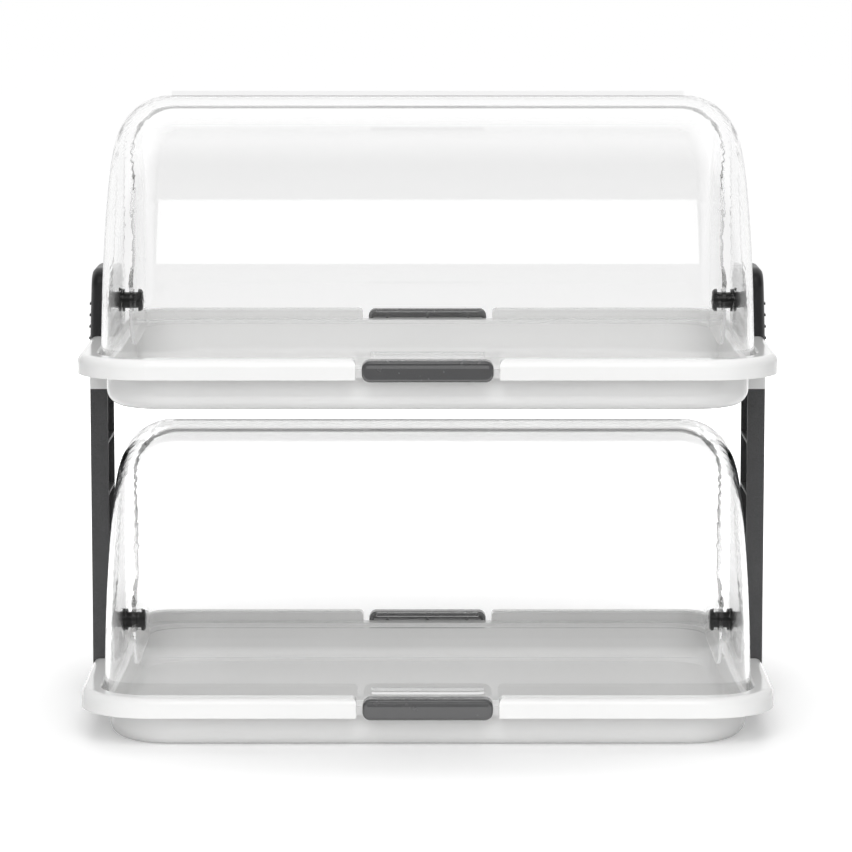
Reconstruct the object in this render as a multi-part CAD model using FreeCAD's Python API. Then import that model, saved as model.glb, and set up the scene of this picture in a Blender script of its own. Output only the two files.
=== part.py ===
import FreeCAD, Part
import math
import os

# Two-tier roll-top bread display bin, in millimetres.
# Origin at the centre of the underside, +Z up, the front faces -Y.

# Trays: overall plan size, height and wall of the moulding
tray_length = 440.0
tray_width = 320.0
tray_corner = 45.0
tray_height = 34.5
tray_wall = 2.3

# Trays: hollow rim, ledge inside it, and basin
rim_width = 13.0
rim_depth = 12.6
rim_round = 5.0
rim_inner_round = 1.5
ledge_depth = 6.8
ledge_side_width = 4.0
ledge_front_width = 7.0
basin_corner = 40.0
basin_floor_round = 10.0
basin_mouth_round = 1.2

# Grips, and the rim notches that hold them
grip_length = 81.6
grip_height = 13.4
grip_drop = 0.6
grip_wall = 2.0
grip_end_round = 5.0
grip_edge_round = 2.0
grip_rib_thickness = 1.6
grip_rib_pitch = 28.0
grip_rib_count = 3
grip_band_height = 1.9
grip_groove_height = 0.9
grip_groove_depth = 0.6
grip_bevel_height = 1.9
grip_groove_margin = 2.9
notch_gap = 4.0
notch_round = 3.5
tongue_gap = 1.0
grip_seat_gap = 0.2

# Posts and caps: section, tenons, ribs and ridges
post_thickness = 11.4
post_width = 54.0
post_wall = 2.5
post_edge_round = 1.0
post_rib_thickness = 2.0
post_rib_first = 41.0
post_rib_pitch = 34.0
post_rib_count = 4
socket_wall = 2.0
tenon_gap = 0.15
post_tenon_length = 14.0
cap_tenon_length = 12.0
cap_height = 44.0
cap_draft = 2.0
cap_top_round = 4.8
cap_corner_round = 12.0
cap_ridge_count = 4
cap_ridge_first = -2.4
cap_ridge_pitch = 7.5
cap_ridge_height = 1.4
cap_ridge_proud = 0.8
seat_relief = 0.2

# Pivots: height above the rim, bush, pin and the fits between them
pivot_height = 21.0
bush_flange_diameter = 14.8
bush_flange_thickness = 2.0
bush_flange_gap = 0.4
bush_sleeve_diameter = 10.6
pin_core_diameter = 6.0
pin_head_diameter = 14.8
pin_head_thickness = 3.4
pin_head_round = 2.6
pin_engagement = 7.5
pin_end_gap = 1.0
pin_fit = 0.05
hood_bore_fit = 0.08

# Hoods: clear sheet, gaps that set the radii of the roll, side walls, overlap and finger tab
hood_wall = 2.5
hood_rim_gap = 26.0
front_hood_side_gap = 2.6
front_hood_draft = 1.5
front_hood_corner = 36.0
rear_hood_nest = 3.5
rear_hood_spacing = 8.3
rear_hood_pin_gap = 1.9
rear_hood_draft = 0.0
rear_hood_corner = 30.0
rear_hood_skirt = 29.2
hood_overlap = 6.0
hood_ledge_gap = 0.3
hood_lip_height = 2.6
hood_lip_thickness = 2.5
hood_lip_length = 334.0
tab_length = 71.0
front_tab_end_gap = 2.0
front_tab_corner = 4.0
rear_tab_reach = 1.5
rear_tab_corner = 1.0
tab_thickness = 2.5
tab_rim_drop = 0.2
tier_gap = 20.9

# How far a cutting body runs past the face that it cuts
overrun = 5.0

# Places and sizes worked out from the ones above
half_length = tray_length / 2
half_width = tray_width / 2
rim_inner_x = half_length - rim_width
rim_inner_y = half_width - rim_width
basin_inner_x = rim_inner_x - ledge_side_width - tray_wall
basin_inner_y = rim_inner_y - ledge_front_width - tray_wall
sides = {"left": -1, "right": 1}
notch_half = grip_length / 2 + notch_gap
grip_inner_y = rim_inner_y + tray_wall + grip_seat_gap
front_hood_radius = half_width - hood_rim_gap
rear_hood_radius = front_hood_radius - hood_wall - rear_hood_nest
front_tab_reach = hood_rim_gap - rim_width - front_tab_end_gap
tier_spacing = tray_height + pivot_height + front_hood_radius + hood_lip_height + tier_gap
rim_levels = {"lower": tray_height, "upper": tray_height + tier_spacing}
post_inner_x = half_length - post_thickness
post_half = post_width / 2
front_hood_skirt = pivot_height + ledge_depth - hood_ledge_gap
front_hood_half = post_inner_x - front_hood_side_gap
bush_face_x = front_hood_half - hood_wall - bush_flange_gap
rear_hood_half = front_hood_half - hood_wall - rear_hood_spacing
pin_head_face_x = rear_hood_half - hood_wall - rear_hood_pin_gap
pin_tip_x = post_inner_x + pin_engagement

Vector = FreeCAD.Vector
centre = Vector(0, 0, 0)
x_axis = Vector(1, 0, 0)
y_axis = Vector(0, 1, 0)
z_axis = Vector(0, 0, 1)


def block(x_low, x_high, y_low, y_high, z_low, z_high):
    return Part.makeBox(x_high - x_low, y_high - y_low, z_high - z_low, Vector(x_low, y_low, z_low))


def rod(radius, x_low, x_high):
    return Part.makeCylinder(radius, x_high - x_low, Vector(x_low, 0, 0), x_axis)


def lies_along(edge, direction):
    # A straight edge whose two ends differ only along the direction
    ends = [vertex.Point for vertex in edge.Vertexes]
    return len(ends) == 2 and (ends[1] - ends[0]).cross(direction).Length < edge.Length * 1e-6


def slab(half_x, half_y, corner, z_low, z_high):
    # Slab about the Z axis with its four upright corners rounded
    body = block(-half_x, half_x, -half_y, half_y, z_low, z_high)
    uprights = [edge for edge in body.Edges if lies_along(edge, z_axis)]
    return body.makeFillet(corner, uprights)


def round_level(body, radius, z_level):
    # Round the whole outline of the flat face at one level
    for face in body.Faces:
        if abs(face.CenterOfMass.z - z_level) < radius * 1e-6 and abs(face.normalAt(0, 0).z) > 0.5:
            return body.makeFillet(radius, face.Edges)
    return body


def round_mouth(body, radius, z_level, half_x, half_y):
    # Round the edge of an opening in a flat face at one level
    edges = []
    for edge in body.Edges:
        box = edge.BoundBox
        level = abs(edge.CenterOfMass.z - z_level) < radius * 1e-6 and box.ZLength < radius * 1e-3
        x_reach = max(box.XMax, -box.XMin) - half_x
        y_reach = max(box.YMax, -box.YMin) - half_y
        if level and max(x_reach, y_reach) < radius / 2:
            edges.append(edge)
    return body.makeFillet(radius, edges)


def rim_block(round_radius):
    # Full outer form of the rim, without its hollow
    body = slab(half_length, half_width, tray_corner, -rim_depth, 0)
    return round_level(body, round_radius, 0)


def basin_block(inset, z_high):
    # Form of the basin, outside at inset 0 and inside at the wall thickness
    floor_z = inset - tray_height
    body = slab(
        basin_inner_x + tray_wall - inset,
        basin_inner_y + tray_wall - inset,
        basin_corner - inset,
        floor_z,
        z_high,
    )
    return round_level(body, basin_floor_round - inset, floor_z)


def tray_form():
    # Rim, ledge and basin as a solid form, before the hollows are taken out
    body = rim_block(rim_round).fuse(basin_block(0, 0))
    recess = slab(rim_inner_x, rim_inner_y, tray_corner - rim_width, -ledge_depth, overrun)
    return round_mouth(body.cut(recess), rim_inner_round, 0, rim_inner_x, rim_inner_y)


def rim_hollow():
    # Space under the rim and the ledge, open downwards
    space = slab(
        half_length - tray_wall,
        half_width - tray_wall,
        tray_corner - tray_wall,
        -rim_depth - overrun,
        -tray_wall,
    )
    core = slab(
        rim_inner_x + tray_wall,
        rim_inner_y + tray_wall,
        tray_corner - rim_width + tray_wall,
        -ledge_depth - tray_wall,
        overrun,
    )
    return space.cut(core).cut(basin_block(0, overrun))


def tray_socket():
    # Right-hand socket under the rim, from the rim down to the underside
    column = block(post_inner_x, half_length, -post_half, post_half, -tray_height, 0)
    below = block(0, half_length, -half_width, half_width, -tray_height, -rim_round)
    return column.common(rim_block(rim_round).fuse(below))


def socket_space():
    # Rectangular hole of the right-hand socket
    return block(
        post_inner_x + socket_wall,
        half_length - socket_wall,
        -post_half + socket_wall,
        post_half - socket_wall,
        -tray_height - overrun,
        overrun,
    )


def notch_space():
    # Rear notch across the rim, its top corners rounded outwards
    outer = notch_half + notch_round
    slope = notch_round * math.sqrt(0.5)
    below = -rim_depth - overrun
    mouth = overrun
    corners = [
        Vector(-notch_half, 0, below),
        Vector(notch_half, 0, below),
        Vector(notch_half, 0, -notch_round),
        Vector(outer, 0, 0),
        Vector(outer, 0, mouth),
        Vector(-outer, 0, mouth),
        Vector(-outer, 0, 0),
        Vector(-notch_half, 0, -notch_round),
    ]
    right_middle = Vector(outer - slope, 0, slope - notch_round)
    left_middle = Vector(slope - outer, 0, slope - notch_round)
    edges = [
        Part.LineSegment(corners[0], corners[1]).toShape(),
        Part.LineSegment(corners[1], corners[2]).toShape(),
        Part.Arc(corners[2], right_middle, corners[3]).toShape(),
        Part.LineSegment(corners[3], corners[4]).toShape(),
        Part.LineSegment(corners[4], corners[5]).toShape(),
        Part.LineSegment(corners[5], corners[6]).toShape(),
        Part.Arc(corners[6], left_middle, corners[7]).toShape(),
        Part.LineSegment(corners[7], corners[0]).toShape(),
    ]
    profile = Part.Face(Part.Wire(edges))
    profile.translate(Vector(0, rim_inner_y - tray_wall, 0))
    return profile.extrude(Vector(0, rim_width + tray_wall + overrun, 0))


def notch_ledge():
    # What the notch leaves standing: the ledge and all below it
    return block(-half_length, half_length, 0, rim_inner_y + tray_wall, -tray_height, -ledge_depth)


def tongue():
    # Plate that runs on from the ledge into the rear grip
    half = grip_length / 2 - grip_wall - tongue_gap
    end = half_width - grip_wall - tongue_gap
    return block(-half, half, rim_inner_y, end, -ledge_depth - tray_wall, -ledge_depth)


def notch_ends(form):
    # Walls that close the hollow rim at both ends of the rear notch
    walls = block(
        -notch_half - tray_wall,
        notch_half + tray_wall,
        rim_inner_y,
        half_width,
        -rim_depth,
        0,
    )
    return walls.common(form)


def turned(shape):
    # Copy turned half a turn about the Z axis, from rear to front
    moved = shape.copy()
    moved.rotate(centre, z_axis, 180)
    return moved


def mirrored(shape, side):
    # Right-hand shape as it is, or its mirror image for the left
    return shape if side > 0 else shape.mirror(centre, x_axis)


def lifted(shape, z_move):
    moved = shape.copy()
    moved.translate(Vector(0, 0, z_move))
    return moved


def make_tray():
    form = tray_form()
    body = form.cut(basin_block(tray_wall, overrun))
    body = round_mouth(body, basin_mouth_round, -ledge_depth, basin_inner_x, basin_inner_y)
    body = body.cut(rim_hollow())
    notch = notch_space().cut(notch_ledge())
    ends = notch_ends(form)
    body = body.fuse(ends).fuse(turned(ends))
    body = body.cut(notch).cut(turned(notch))
    body = body.fuse(tongue()).fuse(turned(tongue()))
    for side in sides.values():
        body = body.fuse(mirrored(tray_socket(), side))
        body = body.cut(mirrored(socket_space(), side))
    return body.removeSplitter()


def make_grip():
    # Rear grip: a shell open towards the tray, with ribs that stand on the tongue
    half = grip_length / 2
    high = -grip_drop
    low = high - grip_height
    body = block(-half, half, grip_inner_y, half_width, low, high)
    body = body.makeFillet(grip_end_round, [edge for edge in body.Edges if lies_along(edge, y_axis)])
    for face in body.Faces:
        if abs(face.CenterOfMass.y - half_width) < grip_wall * 1e-6:
            body = body.makeFillet(grip_edge_round, face.Edges)
            break
    pocket = block(
        grip_wall - half,
        half - grip_wall,
        grip_inner_y - overrun,
        half_width - grip_wall,
        low + grip_wall,
        high - grip_wall,
    )
    pocket_round = grip_end_round - grip_wall
    pocket = pocket.makeFillet(pocket_round, [e for e in pocket.Edges if lies_along(e, y_axis)])
    body = body.cut(pocket)
    for index in range(grip_rib_count):
        x_rib = (index - (grip_rib_count - 1) / 2) * grip_rib_pitch
        body = body.fuse(block(
            x_rib - grip_rib_thickness / 2,
            x_rib + grip_rib_thickness / 2,
            grip_inner_y,
            half_width - grip_wall / 2,
            -ledge_depth,
            high - grip_wall / 2,
        ))
    groove_half = half - grip_groove_margin
    groove_high = high - grip_band_height
    groove_low = groove_high - grip_groove_height
    points = [
        Vector(-groove_half, half_width + overrun, groove_high),
        Vector(-groove_half, half_width - grip_groove_depth, groove_high),
        Vector(-groove_half, half_width - grip_groove_depth, groove_low),
        Vector(-groove_half, half_width, groove_low - grip_bevel_height),
        Vector(-groove_half, half_width + overrun, groove_low - grip_bevel_height),
    ]
    groove = Part.Face(Part.makePolygon(points + points[:1])).extrude(Vector(2 * groove_half, 0, 0))
    body = body.cut(groove)
    return body.removeSplitter()


def tenon(z_low, z_high):
    # Right-hand tenon that fits the socket hole with a gap all round
    inset = socket_wall + tenon_gap
    return block(
        post_inner_x + inset,
        half_length - inset,
        inset - post_half,
        post_half - inset,
        z_low,
        z_high,
    )


def pivot_boss(back_x):
    # Solid disc behind the bush, from the open face to the back wall
    return rod(bush_flange_diameter / 2, post_inner_x, back_x)


def pivot_bore():
    return rod(pin_core_diameter / 2 + pin_fit, post_inner_x - overrun, pin_tip_x + pin_end_gap)


def channel(z_low, z_high):
    # Space inside a right-hand post or cap, open towards the trays
    return block(
        post_inner_x - overrun,
        half_length - post_wall,
        post_wall - post_half,
        post_half - post_wall,
        z_low + post_wall,
        z_high - post_wall,
    )


def seated_blank(z_low, z_high):
    # Right-hand column whose outer foot follows the round of the rim
    blank = block(post_inner_x, half_length, -post_half, post_half, z_low - rim_round, z_high)
    rim = lifted(rim_block(rim_round - seat_relief), z_low)
    return blank.cut(rim)


def make_post():
    # Right-hand post, from the lower rim to the socket of the upper tray
    z_low = rim_levels["lower"]
    z_high = rim_levels["upper"] - tray_height
    pivot_z = z_low + pivot_height
    body = seated_blank(z_low, z_high)
    outer_edges = [
        edge for edge in body.Edges
        if lies_along(edge, z_axis) and edge.CenterOfMass.x > half_length - post_wall
    ]
    body = body.makeFillet(post_edge_round, outer_edges)
    body = body.cut(channel(z_low, z_high))
    for index in range(post_rib_count):
        z_rib = z_low + post_rib_first + index * post_rib_pitch
        body = body.fuse(block(
            post_inner_x,
            half_length - post_wall / 2,
            post_wall / 2 - post_half,
            post_half - post_wall / 2,
            z_rib - post_rib_thickness / 2,
            z_rib + post_rib_thickness / 2,
        ))
    body = body.fuse(lifted(pivot_boss(half_length - post_wall / 2), pivot_z))
    body = body.fuse(tenon(z_low - post_tenon_length, z_low))
    body = body.fuse(tenon(z_high, z_high + post_tenon_length))
    body = body.cut(lifted(pivot_bore(), pivot_z))
    return body.removeSplitter()


def cap_form(inset, x_low, z_low, z_high):
    # Right-hand cap outside at inset 0, and the space in it at the wall thickness.
    # Its outer face leans in towards the top.
    x_high = half_length - inset
    y_half = post_half - inset
    body = block(x_low, x_high + overrun, -y_half, y_half, z_low, z_high - inset)
    reach = cap_height + rim_round + overrun
    beyond = block(0, reach, -reach, reach, -reach, reach)
    beyond.rotate(centre, y_axis, -cap_draft)
    beyond.translate(Vector(x_high, 0, rim_levels["upper"] - rim_round))
    body = body.cut(beyond)
    corners = [
        edge for edge in body.Edges
        if lies_along(edge, x_axis) and edge.CenterOfMass.z > (z_low + z_high) / 2
    ]
    body = body.makeFillet(cap_corner_round - inset, corners)
    outline = [
        edge for edge in body.Edges
        if edge.BoundBox.XMin > (x_low + x_high) / 2 and edge.BoundBox.ZMax > (z_low + z_high) / 2
    ]
    return body.makeFillet(cap_top_round - inset, outline)


def make_cap():
    # Right-hand cap on the upper tray, with small ridges on its outer face
    z_low = rim_levels["upper"]
    z_high = z_low + cap_height
    pivot_z = z_low + pivot_height
    body = cap_form(0, post_inner_x, z_low - rim_round, z_high)
    ridge_half = post_half - cap_top_round
    for index in range(cap_ridge_count):
        ridge_level = cap_ridge_first + index * cap_ridge_pitch
        ridge_lean = (ridge_level + rim_round) * math.tan(math.radians(cap_draft))
        body = body.fuse(block(
            half_length - post_wall / 2 - ridge_lean,
            half_length + cap_ridge_proud - ridge_lean,
            -ridge_half,
            ridge_half,
            z_low + ridge_level,
            z_low + ridge_level + cap_ridge_height,
        ))
    body = body.cut(lifted(rim_block(rim_round - seat_relief), z_low))
    body = body.cut(cap_form(post_wall, post_inner_x - overrun, z_low + post_wall, z_high))
    body = body.fuse(lifted(pivot_boss(half_length - post_wall / 2), pivot_z))
    body = body.fuse(tenon(z_low - cap_tenon_length, z_low))
    body = body.cut(lifted(pivot_bore(), pivot_z))
    return body.removeSplitter()


def make_bush():
    # Right-hand bush about the pivot axis, its flange inside the front hood's wall
    body = rod(bush_sleeve_diameter / 2, pin_head_face_x, post_inner_x)
    body = body.fuse(rod(bush_flange_diameter / 2, bush_face_x - bush_flange_thickness, bush_face_x))
    bore = rod(pin_core_diameter / 2 + pin_fit, pin_head_face_x - overrun, post_inner_x + overrun)
    return body.cut(bore).removeSplitter()


def make_pin():
    # Right-hand headed pin about the pivot axis
    head = rod(pin_head_diameter / 2, pin_head_face_x - pin_head_thickness, pin_head_face_x)
    front_x = pin_head_face_x - pin_head_thickness / 2
    head = head.makeFillet(pin_head_round, [edge for edge in head.Edges if edge.BoundBox.XMax < front_x])
    core = rod(pin_core_diameter / 2, pin_head_face_x - pin_head_thickness / 2, pin_tip_x)
    return head.fuse(core).removeSplitter()


def arch(radius, skirt, half_x, draft, corner):
    # Solid under a roll-top sheet: straight skirts, half-round top, leaning sides
    slope = math.tan(math.radians(draft))
    wide = half_x + skirt * slope + overrun
    points = [
        Vector(-wide, -radius, -skirt - overrun),
        Vector(-wide, -radius, 0),
        Vector(-wide, 0, radius),
        Vector(-wide, radius, 0),
        Vector(-wide, radius, -skirt - overrun),
    ]
    outline = Part.Wire([
        Part.LineSegment(points[0], points[1]).toShape(),
        Part.Arc(points[1], points[2], points[3]).toShape(),
        Part.LineSegment(points[3], points[4]).toShape(),
        Part.LineSegment(points[4], points[0]).toShape(),
    ])
    body = Part.Face(outline).extrude(Vector(2 * wide, 0, 0))
    reach = radius + skirt + overrun
    for side in sides.values():
        beyond = block(0, reach, -reach, reach, -reach, reach)
        beyond.rotate(centre, y_axis, -draft)
        beyond.translate(Vector(half_x, 0, 0))
        body = body.cut(mirrored(beyond, side))
    rims = [
        edge for edge in body.Edges
        if abs(edge.CenterOfMass.x) > half_x / 2 and edge.CenterOfMass.z > -skirt - overrun / 2
    ]
    return body.makeFillet(corner, rims)


def hood_reach(radius, skirt):
    # Side view of one hood as a solid: front half, overlap, and a disc about the pivot
    meet_z = math.sqrt(skirt ** 2 - hood_overlap ** 2)
    far = radius + overrun
    points = [
        Vector(-half_length, -far, -skirt),
        Vector(-half_length, 0, -skirt),
        Vector(-half_length, skirt, 0),
        Vector(-half_length, hood_overlap, meet_z),
        Vector(-half_length, hood_overlap, far),
        Vector(-half_length, -far, far),
    ]
    outline = Part.Wire([
        Part.LineSegment(points[0], points[1]).toShape(),
        Part.Arc(points[1], points[2], points[3]).toShape(),
        Part.LineSegment(points[3], points[4]).toShape(),
        Part.LineSegment(points[4], points[5]).toShape(),
        Part.LineSegment(points[5], points[0]).toShape(),
    ])
    return Part.Face(outline).extrude(Vector(tray_length, 0, 0))


def make_hood(radius, skirt, half_x, draft, corner, tab_reach, tab_corner, lip_height):
    # Hood closed over the front half, about a pivot axis at the origin
    outside = arch(radius, skirt, half_x, draft, corner)
    inside = arch(radius - hood_wall, skirt, half_x - hood_wall, draft, corner - hood_wall)
    shell = outside.cut(inside).common(hood_reach(radius, skirt))
    if lip_height > 0:
        shell = shell.fuse(block(
            -hood_lip_length / 2,
            hood_lip_length / 2,
            hood_overlap - hood_lip_thickness,
            hood_overlap,
            radius - hood_wall / 2,
            radius + lip_height,
        ))
    tab_low = -tab_rim_drop - pivot_height
    tab = block(
        -tab_length / 2,
        tab_length / 2,
        -radius - tab_reach,
        hood_wall / 2 - radius,
        tab_low,
        tab_low + tab_thickness,
    )
    tab_corners = [
        edge for edge in tab.Edges
        if lies_along(edge, z_axis) and edge.CenterOfMass.y < -radius
    ]
    shell = shell.fuse(tab.makeFillet(tab_corner, tab_corners))
    bore = rod(bush_sleeve_diameter / 2 + hood_bore_fit, -half_length, half_length)
    return shell.cut(bore).removeSplitter()


def write(name, shape):
    shape.exportStep("parts/" + name + ".step")
    kind = "solid" if len(shape.Solids) == 1 else "solids"
    print(name, len(shape.Solids), kind, "valid" if shape.isValid() else "NOT VALID", round(shape.Volume))


def main():
    os.makedirs("parts", exist_ok=True)
    tray = make_tray()
    rear_grip = make_grip()
    bush = make_bush()
    pin = make_pin()
    front_hood = make_hood(
        front_hood_radius,
        front_hood_skirt,
        front_hood_half,
        front_hood_draft,
        front_hood_corner,
        front_tab_reach,
        front_tab_corner,
        hood_lip_height,
    )
    rear_hood = turned(make_hood(
        rear_hood_radius,
        rear_hood_skirt,
        rear_hood_half,
        rear_hood_draft,
        rear_hood_corner,
        rear_tab_reach,
        rear_tab_corner,
        0,
    ))
    for tier, rim_z in rim_levels.items():
        pivot_z = rim_z + pivot_height
        write(tier + "_tray", lifted(tray, rim_z))
        write(tier + "_rear_grip", lifted(rear_grip, rim_z))
        write(tier + "_front_grip", lifted(turned(rear_grip), rim_z))
        write(tier + "_front_hood", lifted(front_hood, pivot_z))
        write(tier + "_rear_hood", lifted(rear_hood, pivot_z))
        for side_name, side in sides.items():
            write(tier + "_" + side_name + "_pivot_bush", lifted(mirrored(bush, side), pivot_z))
            write(tier + "_" + side_name + "_pivot_pin", lifted(mirrored(pin, side), pivot_z))
    post = make_post()
    cap = make_cap()
    for side_name, side in sides.items():
        write(side_name + "_post", mirrored(post, side))
        write(side_name + "_post_cap", mirrored(cap, side))


main()
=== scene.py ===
import math

import bpy
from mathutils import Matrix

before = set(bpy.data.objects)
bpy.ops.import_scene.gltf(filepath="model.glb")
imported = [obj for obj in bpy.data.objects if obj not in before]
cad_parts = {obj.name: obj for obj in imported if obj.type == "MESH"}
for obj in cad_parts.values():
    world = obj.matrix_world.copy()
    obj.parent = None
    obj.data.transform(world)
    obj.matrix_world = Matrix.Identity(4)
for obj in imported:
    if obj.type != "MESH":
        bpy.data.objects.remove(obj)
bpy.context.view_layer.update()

TIERS = ("lower", "upper")
SIDES = ("left", "right")

# Camera of the photograph: focal length in pixels of an 852 pixel frame, place in metres, degrees down
FRAME_PIXELS = 852
FOCAL_PIXELS = 4010
SENSOR_MM = 36.0
CAMERA_PLACE = (-0.00105, -2.62, 0.5374)
CAMERA_PITCH = 7.66
CAMERA_REACH = 100

# Studio levels, where 1 is white
BACKDROP = 1.25
DARK_FRONT = 0.12
AMBIENT = 0.24
SIDE_SHARE = 0.35

# Directions between which the backdrop turns dark in front, and the soft light dims sideways
DARK_EDGE = (-0.05, 0.25)
SIDE_FADE = (0.45, 0.95)

# Floor: half its length, its colour, its glow near the object, kept low there as painted shade round it,
# and far off, and the distances between them, then the places along Y between which it turns dark and
# the share that is left there
FLOOR_HALF = 30.0
FLOOR_COLOUR = 0.8
FLOOR_NEAR = 0.24
FLOOR_FAR = 0.80
FLOOR_FADE = (0.2, 0.5)
FLOOR_FRONT = (-0.95, -0.55)
FLOOR_FRONT_SHARE = 0.1

# Lamps: place, size and power in watts, all aimed at the middle of the object
MIDDLE = (0, 0, 0.22)
SOFTBOX = ("softbox", (0, -1.53, 1.715), (0.72, 1.39), 5.0)
PLAIN_LAMPS = (
    ("key", (0, -2.0, 1.75), (1.4, 0.7), 19),
    ("front_fill", (0, -2.2, 0.7), (1.6, 1.0), 20),
    ("top_fill", (0, 0.15, 1.7), (1.6, 1.2), 8.0),
    ("rear_fill", (0, 2.1, 0.9), (1.6, 1.0), 18),
)

# White tray: colours and roughness, with the scale of their noise in cycles per metre
TRAY_COLOURS = ((0.835, 0.835, 0.83), (0.865, 0.865, 0.86))
TRAY_COLOUR_SCALE = 9
TRAY_ROUGHNESS = (0.09, 0.13)
TRAY_ROUGHNESS_SCALE = 60

# White tray: scale, strength and depth in metres of its ripple and its fine grain
TRAY_RIPPLE = (22, 0.08, 0.0002)
TRAY_GRAIN = (1800, 0.05, 0.00008)

# Clear sheet: refraction, roughness with its scale, and scale, strength and depth of its faint waves
HOOD_COLOUR = 0.985
HOOD_IOR = 1.55
HOOD_ROUGHNESS = (0.0, 0.012)
HOOD_ROUGHNESS_SCALE = 14
HOOD_WAVES = (11, 0.015, 0.0002)

# Clear sheet: what it lets through straight, after how many bounces, and its tint and density inside
HOOD_STRAIGHT = 0.95
HOOD_DEEP = 6.5
HOOD_TINT = 0.45
HOOD_DENSITY = 5.0

# Dark plastics: darkest and lightest colour of the grain, roughness, grain in cycles per metre, its
# depth in metres, and gloss
DARK_PLASTICS = {
    "post_plastic": {
        "dark": (0.042, 0.042, 0.043),
        "light": (0.072, 0.072, 0.074),
        "roughness": (0.45, 0.6),
        "grain": 1600,
        "depth": 0.00012,
        "gloss": 0.5,
    },
    "cap_plastic": {
        "dark": (0.009, 0.009, 0.0095),
        "light": (0.017, 0.017, 0.018),
        "roughness": (0.3, 0.42),
        "grain": 1600,
        "depth": 0.0001,
        "gloss": 0.5,
    },
    "grip_plastic": {
        "dark": (0.056, 0.056, 0.057),
        "light": (0.078, 0.078, 0.080),
        "roughness": (0.2, 0.28),
        "grain": 2200,
        "depth": 0.00001,
        "gloss": 1.0,
    },
    "pivot_plastic": {
        "dark": (0.004, 0.004, 0.004),
        "light": (0.008, 0.008, 0.008),
        "roughness": (0.15, 0.25),
        "grain": 2200,
        "depth": 0.00003,
        "gloss": 0.5,
    },
}
GRAIN_STRENGTH = 0.6
GRAIN_SPREAD = (0.35, 0.65)
GRAIN_PER_PATCH = 12

# Share of a noise texture's values that is spread over a whole range
NOISE_SPREAD = (0.3, 0.7)


class Nodes:
    """The node tree of a material or world, with one short call for each kind of node."""

    def __init__(self, tree, output="ShaderNodeOutputMaterial"):
        self.tree = tree
        tree.nodes.clear()
        self.output = self.new(output)
        self.path = None

    def new(self, kind, **settings):
        node = self.tree.nodes.new(kind)
        for name, value in settings.items():
            setattr(node, name, value)
        return node

    def link(self, source, target):
        self.tree.links.new(source, target)

    def place(self, kind="Object"):
        return self.new("ShaderNodeTexCoord").outputs[kind]

    def ray(self, name):
        """What Light Path says of the ray that looks."""
        self.path = self.path or self.new("ShaderNodeLightPath")
        return self.path.outputs[name]

    def split(self, place):
        node = self.new("ShaderNodeSeparateXYZ")
        self.link(place, node.inputs["Vector"])
        return node.outputs

    def math(self, operation, *values, clamp=False):
        """Result of one operation on numbers or other nodes' results."""
        node = self.new("ShaderNodeMath", operation=operation, use_clamp=clamp)
        for slot, value in zip(node.inputs, values):
            if isinstance(value, (int, float)):
                slot.default_value = value
            else:
                self.link(value, slot)
        return node.outputs["Value"]

    def noise(self, scale, detail=2.0, roughness=0.5):
        """Noise with a scale in cycles per metre."""
        texture = self.new("ShaderNodeTexNoise")
        texture.inputs["Scale"].default_value = scale
        texture.inputs["Detail"].default_value = detail
        texture.inputs["Roughness"].default_value = roughness
        self.link(self.place(), texture.inputs["Vector"])
        return texture.outputs["Fac"]

    def between(self, source, low, high, start=NOISE_SPREAD[0], end=NOISE_SPREAD[1]):
        """Source spread over low to high."""
        spread = self.new("ShaderNodeMapRange")
        spread.inputs["From Min"].default_value = start
        spread.inputs["From Max"].default_value = end
        spread.inputs["To Min"].default_value = low
        spread.inputs["To Max"].default_value = high
        self.link(source, spread.inputs["Value"])
        return spread.outputs["Result"]

    def shades(self, source, dark, light):
        """Colour between two greys or colours, chosen by the source."""
        ramp = self.new("ShaderNodeMix", data_type="RGBA")
        self.link(source, ramp.inputs["Factor"])
        ramp.inputs["A"].default_value = (*dark, 1)
        ramp.inputs["B"].default_value = (*light, 1)
        return ramp.outputs["Result"]

    def bump(self, source, strength, depth, onto=None):
        node = self.new("ShaderNodeBump")
        node.inputs["Strength"].default_value = strength
        node.inputs["Distance"].default_value = depth
        self.link(source, node.inputs["Height"])
        if onto:
            self.link(onto, node.inputs["Normal"])
        return node.outputs["Normal"]

    def mix(self, share, first, second):
        """Two shaders, mixed by the second one's share."""
        node = self.new("ShaderNodeMixShader")
        self.link(share, node.inputs["Fac"])
        self.link(first, node.inputs[1])
        self.link(second, node.inputs[2])
        return node.outputs["Shader"]

    def backlight(self, name, level):
        light = self.new("ShaderNodeBackground", name=name)
        light.inputs["Strength"].default_value = level
        return light


def grey(level):
    return (level, level, level, 1)


def new_material(name):
    material = bpy.data.materials.new(name)
    material.use_nodes = True
    return material, Nodes(material.node_tree)


def tray_material():
    """Glossy white moulding: even colour, a faint ripple and slightly uneven gloss."""
    material, nodes = new_material("tray_gloss_white")
    shader = nodes.new("ShaderNodeBsdfPrincipled")
    tone = nodes.between(nodes.noise(TRAY_COLOUR_SCALE, 3), 0, 1)
    nodes.link(nodes.shades(tone, *TRAY_COLOURS), shader.inputs["Base Color"])
    gloss = nodes.between(nodes.noise(TRAY_ROUGHNESS_SCALE, 4), *TRAY_ROUGHNESS)
    nodes.link(gloss, shader.inputs["Roughness"])
    scale, strength, depth = TRAY_RIPPLE
    ripple = nodes.bump(nodes.noise(scale, 1), strength, depth)
    scale, strength, depth = TRAY_GRAIN
    fine = nodes.bump(nodes.noise(scale, 2), strength, depth, onto=ripple)
    nodes.link(fine, shader.inputs["Normal"])
    nodes.link(shader.outputs["BSDF"], nodes.output.inputs["Surface"])
    return material


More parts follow.
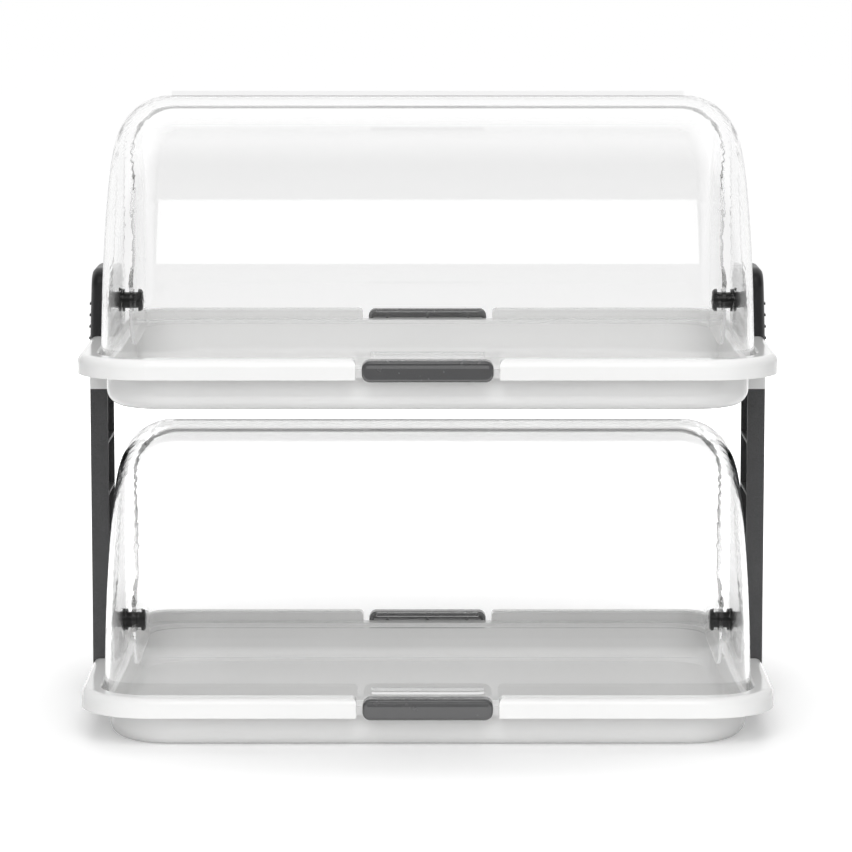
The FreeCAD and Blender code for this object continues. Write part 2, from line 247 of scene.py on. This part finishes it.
def dark_plastic(name):
    """Dark moulded plastic with a spark-eroded grain."""
    finish = DARK_PLASTICS[name]
    grain = finish["grain"]
    material, nodes = new_material(name)
    shader = nodes.new("ShaderNodeBsdfPrincipled")
    speckle = nodes.between(nodes.noise(grain, 3, 0.6), 0, 1, *GRAIN_SPREAD)
    nodes.link(nodes.shades(speckle, finish["dark"], finish["light"]), shader.inputs["Base Color"])
    patches = nodes.noise(grain / GRAIN_PER_PATCH, 3)
    nodes.link(nodes.between(patches, *finish["roughness"]), shader.inputs["Roughness"])
    shader.inputs["Specular IOR Level"].default_value = finish["gloss"]
    nodes.link(nodes.bump(nodes.noise(grain, 2), GRAIN_STRENGTH, finish["depth"]), shader.inputs["Normal"])
    nodes.link(shader.outputs["BSDF"], nodes.output.inputs["Surface"])
    return material


def clear_material():
    """Clear moulded sheet: real refraction, faint absorption that darkens edges, straight for lamps.

    Light that has bounced many times along the sheet leaves it too, or its edges would go black.
    """
    material, nodes = new_material("clear_sheet")
    shader = nodes.new("ShaderNodeBsdfPrincipled")
    shader.inputs["Base Color"].default_value = grey(HOOD_COLOUR)
    shader.inputs["Transmission Weight"].default_value = 1.0
    shader.inputs["IOR"].default_value = HOOD_IOR
    gloss = nodes.between(nodes.noise(HOOD_ROUGHNESS_SCALE, 3), *HOOD_ROUGHNESS)
    nodes.link(gloss, shader.inputs["Roughness"])
    scale, strength, depth = HOOD_WAVES
    nodes.link(nodes.bump(nodes.noise(scale, 0), strength, depth), shader.inputs["Normal"])
    clear = nodes.new("ShaderNodeBsdfTransparent")
    clear.inputs["Color"].default_value = grey(HOOD_STRAIGHT)
    for_lamps = nodes.math("MAXIMUM", nodes.ray("Is Shadow Ray"), nodes.ray("Is Diffuse Ray"))
    deep = nodes.math("GREATER_THAN", nodes.ray("Ray Depth"), HOOD_DEEP)
    straight = nodes.math("MAXIMUM", for_lamps, deep)
    sheet = nodes.mix(straight, shader.outputs["BSDF"], clear.outputs["BSDF"])
    nodes.link(sheet, nodes.output.inputs["Surface"])
    tint = nodes.new("ShaderNodeVolumeAbsorption")
    tint.inputs["Color"].default_value = grey(HOOD_TINT)
    tint.inputs["Density"].default_value = HOOD_DENSITY
    nodes.link(tint.outputs["Volume"], nodes.output.inputs["Volume"])
    return material


def dress(names, material):
    for name in names:
        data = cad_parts[name].data
        data.materials.clear()
        data.materials.append(material)


def tier_names(*endings):
    return [f"{tier}_{ending}" for tier in TIERS for ending in endings]


def side_names(*endings):
    return [f"{side}_{ending}" for side in SIDES for ending in endings]


def dress_all():
    dress(tier_names("tray"), tray_material())
    dress(tier_names("front_hood", "rear_hood"), clear_material())
    dress(side_names("post"), dark_plastic("post_plastic"))
    dress(side_names("post_cap"), dark_plastic("cap_plastic"))
    dress(tier_names("front_grip", "rear_grip"), dark_plastic("grip_plastic"))
    dress(tier_names(*side_names("pivot_bush", "pivot_pin")), dark_plastic("pivot_plastic"))


def add_lamp(name, place, size, power, mirrored=False):
    """Soft rectangular lamp turned to the middle of the object, seen in gloss only where mirrored."""
    lamp = bpy.data.lights.new(name, "AREA")
    lamp.shape = "RECTANGLE"
    lamp.size, lamp.size_y = size
    lamp.energy = power
    holder = bpy.data.objects.new(name, lamp)
    bpy.context.scene.collection.objects.link(holder)
    holder.location = place
    across, along, down = (MIDDLE[i] - place[i] for i in range(3))
    holder.rotation_euler = (
        math.atan2(math.hypot(across, along), -down),
        0,
        math.atan2(along, across) - math.pi / 2,
    )
    holder.visible_glossy = mirrored
    holder.visible_transmission = mirrored


def floor_material():
    """White floor with the object's soft shadow, deepened by painted shade round the object where its
    glow is kept low, dark in front for gloss and bounced light.
    """
    material, nodes = new_material("floor_white")
    behind = nodes.between(nodes.split(nodes.place())["Y"], FLOOR_FRONT_SHARE, 1.0, *FLOOR_FRONT)
    bounced = nodes.math("ADD", nodes.ray("Is Diffuse Ray"), nodes.ray("Glossy Depth"), clamp=True)
    shown = nodes.math("MAXIMUM", behind, nodes.math("SUBTRACT", 1, bounced))
    matt = nodes.new("ShaderNodeBsdfDiffuse")
    white = (FLOOR_COLOUR, FLOOR_COLOUR, FLOOR_COLOUR)
    nodes.link(nodes.shades(shown, (0, 0, 0), white), matt.inputs["Color"])
    distance = nodes.new("ShaderNodeVectorMath", operation="LENGTH")
    nodes.link(nodes.place(), distance.inputs[0])
    # Painted shade: the floor's glow is lower near the object, so the floor round it is darker
    lift_with_painted_shade = nodes.between(distance.outputs["Value"], FLOOR_NEAR, FLOOR_FAR, *FLOOR_FADE)
    seen = nodes.math("SUBTRACT", 1, nodes.ray("Is Diffuse Ray"))
    glow = nodes.new("ShaderNodeEmission")
    nodes.link(nodes.math("MULTIPLY", seen, nodes.math("MULTIPLY", shown, lift_with_painted_shade)), glow.inputs["Strength"])
    total = nodes.new("ShaderNodeAddShader")
    nodes.link(matt.outputs["BSDF"], total.inputs[0])
    nodes.link(glow.outputs["Emission"], total.inputs[1])
    nodes.link(total.outputs["Shader"], nodes.output.inputs["Surface"])
    return material


def add_floor():
    mesh = bpy.data.meshes.new("floor")
    corners = [(-1, -1), (1, -1), (1, 1), (-1, 1)]
    mesh.from_pydata([(x * FLOOR_HALF, y * FLOOR_HALF, 0) for x, y in corners], [], [(0, 1, 2, 3)])
    mesh.materials.append(floor_material())
    floor = bpy.data.objects.new("floor", mesh)
    bpy.context.scene.collection.objects.link(floor)


def set_world():
    """White backdrop, whose front half is a dark studio in gloss, and soft light dimmer sideways."""
    world = bpy.data.worlds.new("studio")
    bpy.context.scene.world = world
    world.use_nodes = True
    nodes = Nodes(world.node_tree, "ShaderNodeOutputWorld")
    direction = nodes.split(nodes.place("Generated"))
    shade = nodes.between(nodes.math("ABSOLUTE", direction["X"]), 1.0, SIDE_SHARE, *SIDE_FADE)
    ambient = nodes.backlight("ambient", AMBIENT)
    mirrored = nodes.backlight("mirrored", DARK_FRONT)
    for light in (ambient, mirrored):
        nodes.link(shade, light.inputs["Color"])
    backdrop = nodes.backlight("backdrop", BACKDROP)
    behind = nodes.between(direction["Y"], 0, 1, *DARK_EDGE)
    in_gloss = nodes.math("MINIMUM", 1, nodes.ray("Glossy Depth"))
    dark_share = nodes.math("MULTIPLY", in_gloss, nodes.math("SUBTRACT", 1, behind))
    seen = nodes.mix(dark_share, backdrop.outputs["Background"], mirrored.outputs["Background"])
    final = nodes.mix(nodes.ray("Is Diffuse Ray"), seen, ambient.outputs["Background"])
    nodes.link(final, nodes.output.inputs["Surface"])


def add_camera():
    camera = bpy.data.cameras.new("camera")
    camera.sensor_width = SENSOR_MM
    camera.lens = FOCAL_PIXELS / FRAME_PIXELS * SENSOR_MM
    camera.clip_end = CAMERA_REACH
    holder = bpy.data.objects.new("camera", camera)
    bpy.context.scene.collection.objects.link(holder)
    holder.location = CAMERA_PLACE
    holder.rotation_euler = (math.radians(90 - CAMERA_PITCH), 0, 0)
    bpy.context.scene.camera = holder


def main():
    bpy.context.scene.view_settings.view_transform = "Standard"
    dress_all()
    add_floor()
    set_world()
    add_lamp(*SOFTBOX, mirrored=True)
    for lamp in PLAIN_LAMPS:
        add_lamp(*lamp)
    add_camera()


main()
